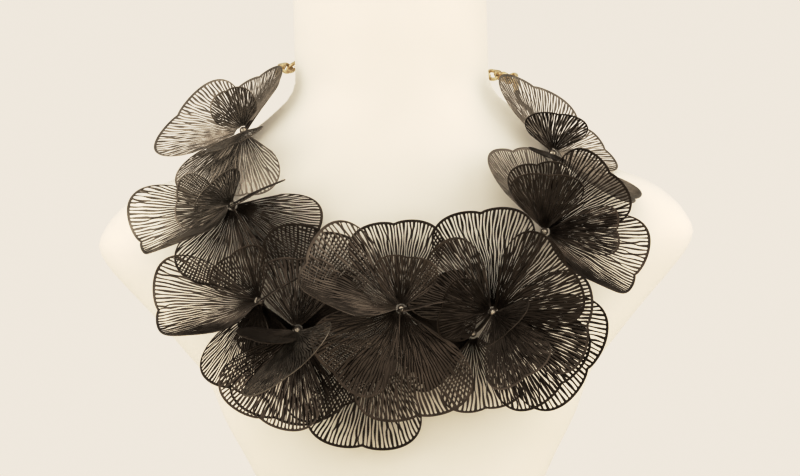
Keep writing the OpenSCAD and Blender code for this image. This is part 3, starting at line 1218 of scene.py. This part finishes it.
    def opening(self, gap: int, out: float) -> float:
        """Tells how far a gap is open.

        Args:
            gap: The gap's number.
            out: Distance from the flower's point.

        Returns:
            The opening there, from 0 to 1.
        """
        if gap in (0, self.slats):
            return 0.0
        return soft_step((out - self.starts[gap]) / self.taper) * (1 - self.touch(gap, out))

    def touch(self, gap: int, out: float) -> float:
        """Tells how firmly the slats beside a gap touch.

        Args:
            gap: The gap's number.
            out: Distance from the flower's point.

        Returns:
            The touch there, from 0 to 1.
        """
        middle, length = self.joins.get(gap, (math.inf, 1.0))
        return soft_step(self.merge_rise * (1 - abs(out - middle) / length))


@dataclass
class Foliage:
    """All leaves of the necklace."""

    large_from: float = 48.0
    small_slats: int = 28
    small_row_step: float = 1.9
    small_rim: float = 0.65
    small_thinnest: float = 0.26
    small_merges: int = 4

    def sheet(self, leaf: Leaf) -> SlatSheet:
        """Chooses how a leaf is slatted: the small ones have fewer, finer slats and a thinner rim.

        Args:
            leaf: The leaf.

        Returns:
            Its sheet of slats.
        """
        sheet = SlatSheet(LeafSurface(leaf), CUTS.get(leaf.name, OPEN))
        if leaf.length >= self.large_from:
            return sheet
        return replace(
            sheet,
            slats=self.small_slats,
            row_step=self.small_row_step,
            rim=sheet.rim * max(leaf.length / USUAL_LENGTH, self.small_rim),
            thinnest=self.small_thinnest,
            merges=self.small_merges,
        )

    def build(self, lacquer: bpy.types.Material) -> list[bpy.types.Object]:
        """Builds and dresses every leaf.

        Args:
            lacquer: Material of the leaves that have the usual coat.

        Returns:
            The dressed leaves.
        """
        # Painted shade and painted light: a darker copy of the lacquer for leaves in shade, and a little
        # paler and a paler copy for leaves that catch more light.
        painted_shade_coat = BakedLacquer("painted_shade_lacquer", "#2c251f", "#3a322b").material()
        light = BakedLacquer("painted_half_light_lacquer", "#514942", "#686058").material()
        thin = BakedLacquer("painted_light_lacquer", "#6c655d", "#857e75").material()
        coats_with_painted_light = {**dict.fromkeys(SHADED_LEAVES, painted_shade_coat), **dict.fromkeys(HALF_LIT_LEAVES, light), **dict.fromkeys(LIT_LEAVES, thin)}
        pieces = []
        for leaf in LEAVES:
            piece = self.sheet(leaf).build()
            dress(piece, coats_with_painted_light.get(leaf.name, lacquer), f"leaf_{leaf.name}")
            pieces.append(piece)
        return pieces


# Route of the collar wire from the viewer's left to right: x, z and y in millimetres. Where y is left out,
# the wire lies on the chest.
COLLAR = (
    (-68, 268, -5), (-77, 255, -9), (-86, 241, -16), (-93, 226), (-95, 219, -43.5), (-95, 211), (-92, 199),
    (-86, 176), (-80, 158), (-76, 145), (-68, 136), (-55, 129), (-36, 124), (-15, 122), (3, 121), (24, 122),
    (43, 127), (54, 139), (66, 154), (76, 168), (83, 184), (90, 204), (92, 216), (88, 228, -38),
    (84, 240, -22), (77, 252, -12), (70, 259, -7),
)


@dataclass
class ChainPath:
    """The path of the chain: round the back of the neck, then straight forward to the collar's ends."""

    neck: float = 0.111
    gap: float = 0.0005
    height: float = 0.2733
    rise: float = 0.008
    fall: float = 0.0041
    free_left: float = 63.0
    free_right: float = 52.0
    eye: float = 0.0033
    lean: float = 45.0
    link_half: float = 0.006
    link_half_width: float = 0.003
    wire: float = 0.002
    play: float = 0.0004
    links: int = 17
    small: float = 0.003
    big: float = 0.0034

    @property
    def radius(self) -> float:
        """Gives the path's distance from the middle of the neck, with a gap behind the leaning links."""
        leaning = math.sin(math.radians(self.lean)) * self.link_half_width
        return self.neck / 2 + leaning + self.wire / 2 + self.gap

    def point(self, at: float) -> Vector:
        """Gives a place on the path.

        Args:
            at: Distance from the first eye.

        Returns:
            The place.
        """
        along = at - self.end_at / 2
        leaves_at = math.radians(self.free_left if along < 0 else self.free_right)
        angle = min(abs(along) / self.radius, leaves_at)
        free = max(0.0, abs(along) - self.radius * leaves_at)
        x = math.copysign(self.radius * math.sin(angle) + free * math.cos(angle), along)
        y = self.radius * math.cos(angle) - free * math.sin(angle)
        return Vector((x, y, self.height + (self.rise * y - self.fall * x) / self.radius))

    def ahead(self, at: float) -> Vector:
        """Gives the path's direction at a distance from the first eye."""
        return (self.point(at + 0.0001) - self.point(at - 0.0001)).normalized()

    def side(self, at: float, lean: float) -> Vector:
        """Gives the direction across a ring.

        Args:
            at: The ring's distance from the first eye.
            lean: Angle out of the upright, in degrees.

        Returns:
            The direction.
        """
        ahead = self.ahead(at)
        out = ahead.cross(Vector((0, 0, 1))).normalized()
        return math.cos(math.radians(lean)) * out.cross(ahead) + math.sin(math.radians(lean)) * out

    @property
    def first_link(self) -> float:
        """Gives the distance of the first link."""
        return self.eye + self.link_half - self.wire - self.play

    @property
    def link_step(self) -> float:
        """Gives the distance from link to link."""
        return 2 * self.link_half - self.wire - self.play

    @property
    def small_at(self) -> float:
        """Gives the distance of the clasp's small ring."""
        last = self.first_link + (self.links - 1) * self.link_step
        return last + self.link_half + self.small - self.wire - self.play

    @property
    def big_at(self) -> float:
        """Gives the distance of the clasp's big ring."""
        return self.small_at + self.small + self.big

    @property
    def end_at(self) -> float:
        """Gives the distance of the last eye."""
        return self.big_at + self.big + self.eye - self.wire - self.play

    def ring(self, at: float, lean: float, half_length: float, half_width: float) -> bpy.types.Object:
        """Adds one closed ring or link of round wire at its place.

        Args:
            at: Distance from the first eye.
            lean: Angle out of the upright, in degrees.
            half_length: Half the length of its middle line.
            half_width: Half the width of its middle line.

        Returns:
            The ring.
        """
        deselect()
        bpy.ops.mesh.primitive_torus_add(
            major_radius=half_width, minor_radius=self.wire / 2, major_segments=32, minor_segments=12
        )
        piece = bpy.context.object
        for vertex in piece.data.vertices:
            if abs(vertex.co.x) > 1e-6:
                vertex.co.x += math.copysign(half_length - half_width, vertex.co.x)
        ahead, side = self.ahead(at), self.side(at, lean)
        turn = Matrix((ahead, side, ahead.cross(side))).transposed().to_4x4()
        piece.data.transform(Matrix.Translation(self.point(at)) @ turn)
        return piece


@dataclass
class Collar:
    """The curved wire with its two eyes, and the spindle and bead of each flower.

    ferrule is the thickness of the ferrules in wires, and ferrule_steps their length in steps of the route.
    The spindle of the raised flower ends above the wire, and a branch of this length in millimetres joins it
    to the wire. The bead's radius, its flattened front and the radius of the twisted ring behind it are
    shares of bead, the width of a cap. The ring's two wires run at the distance twist from its middle line,
    and their thickness is a share of that.
    """

    bust: NeckBust
    path: ChainPath
    wire: float = 0.0024
    spindle: float = 0.0042
    bead: float = 0.0036
    bead_size: float = 0.42
    bead_flat: float = 0.36
    gap: float = 0.0005
    route_steps: int = 8
    ferrule: float = 1.3
    ferrule_steps: int = 5
    branch: float = 20.0
    raised: str = "e"
    twist: float = 0.00028
    twist_size: float = 0.43
    twist_wire: float = 2.1
    twist_turns: int = 9
    twist_back: float = 0.0007

    def wire_y(self, x: float, z: float) -> float:
        """Gives the y of the wire's middle where it lies on the chest, in metres."""
        return self.bust.lift(x, z, self.wire / 2 + self.gap)

    def route(self) -> list[Vector]:
        """Gives the wire's points from eye to eye.

        Returns:
            The points in metres.
        """
        path = self.path
        points = [path.point(0) - path.eye * path.ahead(0)]
        for row in COLLAR:
            x, z = (c * MM for c in hung(row[0], row[1]))
            points.append(Vector((x, row[2] * MM if len(row) > 2 else self.wire_y(x, z), z)))
        return points + [path.point(path.end_at) + path.eye * path.ahead(path.end_at)]

    @staticmethod
    def front(flower: str) -> Vector:
        """Gives the front end of a flower's spindle, in metres."""
        x, y, z = flower_point(flower)
        return Vector((x, y + flower_front(flower), z)) * MM

    def build_wirework(self, lacquer: bpy.types.Material) -> bpy.types.Object:
        """Builds the lacquered wire with the spindles that are soldered to it.

        Args:
            lacquer: Its material.

        Returns:
            The dressed wirework.
        """
        route = self.route()
        parts = [wire_along("collar_wire", smooth_route(route, self.route_steps), self.wire)]
        for flower in FLOWERS:
            front = self.front(flower)
            x, z = front.x, front.z
            nearest = min(route, key=lambda p, x=x, z=z: (p.x - x) ** 2 + (p.z - z) ** 2)
            back = self.wire_y(x, z) if flower == self.raised else nearest.y
            parts.append(rod(front, Vector((x, back, z)), self.spindle))
        x, _, z = (c * MM for c in flower_point(self.raised))
        low = z - self.branch * MM
        parts.append(rod(Vector((x, self.wire_y(x, z), z)), Vector((x, self.wire_y(x, low), low)), self.wire))
        piece = settle(joined(parts, "collar_wirework"))
        dress(piece, lacquer, "collar")
        return piece

    def build_ends(self, brass: bpy.types.Material) -> bpy.types.Object:
        """Builds the bare brass ends: an eye on each, and a ferrule where the lacquered wire goes in.

        Args:
            brass: Their material.

        Returns:
            The dressed ends.
        """
        path = self.path
        route = smooth_route(self.route(), self.route_steps)
        parts = [path.ring(0, path.lean, path.eye, path.eye)]
        parts.append(path.ring(path.end_at, -path.lean, path.eye, path.eye))
        for way in (route, route[::-1]):
            parts.append(rod(way[0], way[self.ferrule_steps], self.wire * self.ferrule))
        piece = settle(joined(parts, "collar_ends"))
        dress(piece, brass, "collar")
        return piece

    def build_caps(self, silver: bpy.types.Material) -> bpy.types.Object:
        """Builds the caps on the spindles: a riveted bead in a ring of twisted wire on each.

        Args:
            silver: Their material.

        Returns:
            The dressed caps.
        """
        parts = []
        for flower in FLOWERS:
            parts += [self.bead_at(self.front(flower)), self.twist_at(self.front(flower))]
        piece = settle(joined(parts, "flower_caps"))
        dress(piece, silver, "collar")
        return piece

    def bead_at(self, place: Vector) -> bpy.types.Object:
        """Adds the bead at the front of a spindle, flattened a little where it was riveted.

        Args:
            place: The spindle's front end.

        Returns:
            The bead.
        """
        deselect()
        radius = self.bead * self.bead_size
        bpy.ops.mesh.primitive_uv_sphere_add(segments=28, ring_count=16, radius=radius, location=place)
        piece = bpy.context.object
        for vertex in piece.data.vertices:
            vertex.co.y = max(vertex.co.y, -self.bead * self.bead_flat)
        return piece

    def twist_at(self, place: Vector) -> bpy.types.Object:
        """Adds the ring of two twisted wires behind a bead.

        Args:
            place: The spindle's front end.

        Returns:
            The ring.
        """
        steps = 12 * self.twist_turns
        strands = []
        for strand in (0, 1):
            points = []
            for step in range(steps):
                around = math.tau * step / steps
                twist = self.twist_turns * around + math.pi * strand
                reach = self.bead * self.twist_size + self.twist * math.cos(twist)
                depth = self.twist_back + self.twist * math.sin(twist)
                points.append(place + Vector((reach * math.cos(around), depth, reach * math.sin(around))))
            thickness = self.twist * self.twist_wire
            strands.append(wire_along(f"twist_{strand}", points, thickness, sides=1, closed=True))
        return joined(strands, "twisted_ring")


@dataclass
class BackChain:
    """The interlocking links and the clasp round the back of the neck.

    The barrel of the clasp has a stop near each end: its thickness is a share of the barrel's, and its place
    and half length are shares of half the barrel's length.
    """

    path: ChainPath
    barrel: float = 0.0034
    barrel_length: float = 0.005
    stop: float = 1.12
    stop_at: float = 0.62
    stop_half: float = 0.1

    def lean(self, number: int) -> float:
        """Gives the angle of a ring out of the upright: neighbours lean to opposite sides."""
        return self.path.lean * (-1 if number % 2 == 0 else 1)

    def build_links(self, brass: bpy.types.Material) -> bpy.types.Object:
        """Builds the links, each closed and clear of its neighbours.

        Args:
            brass: Their material.

        Returns:
            The dressed links.
        """
        path = self.path
        links = []
        for i in range(path.links):
            at = path.first_link + i * path.link_step
            links.append(path.ring(at, self.lean(i), path.link_half, path.link_half_width))
        piece = settle(joined(links, "back_chain_links"))
        dress(piece, brass, "back_chain")
        return piece

    def build_clasp(self, brass: bpy.types.Material) -> bpy.types.Object:
        """Builds the clasp: two rings on a short barrel with a stop at each end.

        Args:
            brass: Its material.

        Returns:
            The dressed clasp.
        """
        path = self.path
        lean = self.lean(path.links)
        joint = path.small_at + path.small
        middle, ahead = path.point(joint), path.ahead(joint)
        half = self.barrel_length / 2 * ahead
        parts = [
            path.ring(path.small_at, lean, path.small, path.small),
            path.ring(path.big_at, lean, path.big, path.big),
            rod(middle - half, middle + half, self.barrel),
        ]
        for sign in (-1, 1):
            spot = middle + sign * self.stop_at * half
            reach = self.stop_half * half
            parts.append(rod(spot - reach, spot + reach, self.barrel * self.stop))
        piece = settle(joined(parts, "clasp_rings"))
        dress(piece, brass, "clasp")
        return piece


@dataclass(frozen=True)
class SoftBox:
    """A square soft box, with its place and side in metres and its power in watts."""

    name: str
    place: tuple[float, float, float]
    size: float
    power: float


SOFT_BOXES = (
    SoftBox("soft_box_left", (-2.2, -0.9, 0.9), 2.6, 44.0),
    SoftBox("soft_box_right", (2.2, -0.9, 0.9), 2.6, 46.0),
    SoftBox("soft_box_top", (0.0, -1.8, 1.9), 2.0, 18.0),
)


@dataclass
class Studio:
    """The pale studio: floor, world colour, soft lights and the camera at the photograph's angle.

    centre is the place that the camera faces, and width what it sees there. camera_roll repeats the small
    turn of the photograph's camera about its own axis. white, tones and warmth shape the picture's tones:
    the level that becomes white, points of the curve of all colours, and where red, green and blue end.
    """

    centre: Vector = field(default_factory=lambda: Vector((0.00224, -0.07, 0.1803)))
    distance: float = 3.93
    width: float = 0.448
    camera_roll: float = 1.5
    floor_radius: float = 1.1
    floor_depth: float = 0.01
    backdrop: str = "#efe8df"
    daylight: str = "#f7f4ef"
    lamp: str = "#fffcf8"
    wall: float = 1.19
    ambient: float = 0.73
    white: float = 1.3
    tones: tuple[tuple[float, float], ...] = ((0.08, 0.07), (0.5, 0.65), (0.9, 0.93))
    warmth: tuple[float, float, float] = (1.0, 0.95, 0.87)

    def build(self) -> None:
        """Builds the stage, the lights and the camera."""
        self.build_floor()
        self.build_world()
        self.set_tones()
        for box in SOFT_BOXES:
            self.light(box)
        self.build_camera()

    def build_floor(self) -> None:
        """Lays the round floor under the bust."""
        floor = extruded_disc("studio_floor", 96, self.floor_radius, [-self.floor_depth])
        floor.data.materials.append(PalePlaster().material())

    def build_world(self) -> None:
        """Sets the even, pale world behind and around the bust."""
        world = bpy.data.worlds.new("pale_studio")
        world.use_nodes = True
        tree = world.node_tree
        tree.nodes.clear()
        seen = add_node(tree, "ShaderNodeLightPath").outputs["Is Camera Ray"]
        shades = []
        for colour, strength in ((self.daylight, self.ambient), (self.backdrop, self.wall)):
            values = {"Color": linear(colour), "Strength": strength}
            shades.append(add_node(tree, "ShaderNodeBackground", {}, values).outputs["Background"])
        room, wall = shades
        both = add_node(tree, "ShaderNodeMixShader", {}, {}, {0: seen, 1: room, 2: wall})
        add_node(tree, "ShaderNodeOutputWorld", {}, {}, {"Surface": both.outputs["Shader"]})
        bpy.context.scene.world = world

    def set_tones(self) -> None:
        """Gives the picture the photograph's tones: warm, with whites that are held back."""
        view = bpy.context.scene.view_settings
        view.view_transform = "Standard"
        view.use_curve_mapping = True
        mapping = view.curve_mapping
        mapping.white_level = (self.white,) * 3
        for x, y in self.tones:
            mapping.curves[3].points.new(x, y)
        for curve, share in zip(mapping.curves, self.warmth):
            curve.points[-1].location = (1.0, share)
        mapping.update()

    def light(self, box: SoftBox) -> None:
        """Adds one soft box that faces the necklace.

        Args:
            box: The soft box.
        """
        data = bpy.data.lights.new(box.name, "AREA")
        data.shape = "SQUARE"
        data.size = box.size
        data.energy = box.power
        data.color = linear(self.lamp)[:3]
        lamp = bpy.data.objects.new(box.name, data)
        lamp.location = box.place
        lamp.rotation_euler = (self.centre - Vector(box.place)).to_track_quat("-Z", "Y").to_euler()
        bpy.context.scene.collection.objects.link(lamp)

    def build_camera(self) -> None:
        """Stands a long lens level with the middle of the necklace."""
        data = bpy.data.cameras.new("camera")
        data.sensor_width = 36.0
        data.lens = 36.0 * self.distance / self.width
        camera = bpy.data.objects.new("camera", data)
        camera.location = self.centre - Vector((0, self.distance, 0))
        camera.rotation_euler = (math.radians(90), math.radians(self.camera_roll), 0)
        bpy.context.scene.collection.objects.link(camera)
        bpy.context.scene.camera = camera


def main() -> None:
    """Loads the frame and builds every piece."""
    logging.basicConfig(level=logging.INFO, format="%(name)s: %(message)s")
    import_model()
    bust = NeckBust()
    bust.build()
    lacquer = BakedLacquer().material()
    Foliage().build(lacquer)
    brass = AgedBrass().material()
    path = ChainPath()
    collar = Collar(bust, path)
    collar.build_wirework(lacquer)
    collar.build_ends(brass)
    collar.build_caps(PolishedSilver().material())
    chain = BackChain(path)
    chain.build_links(brass)
    chain.build_clasp(brass)
    Studio().build()


if __name__ == "__main__":
    main()
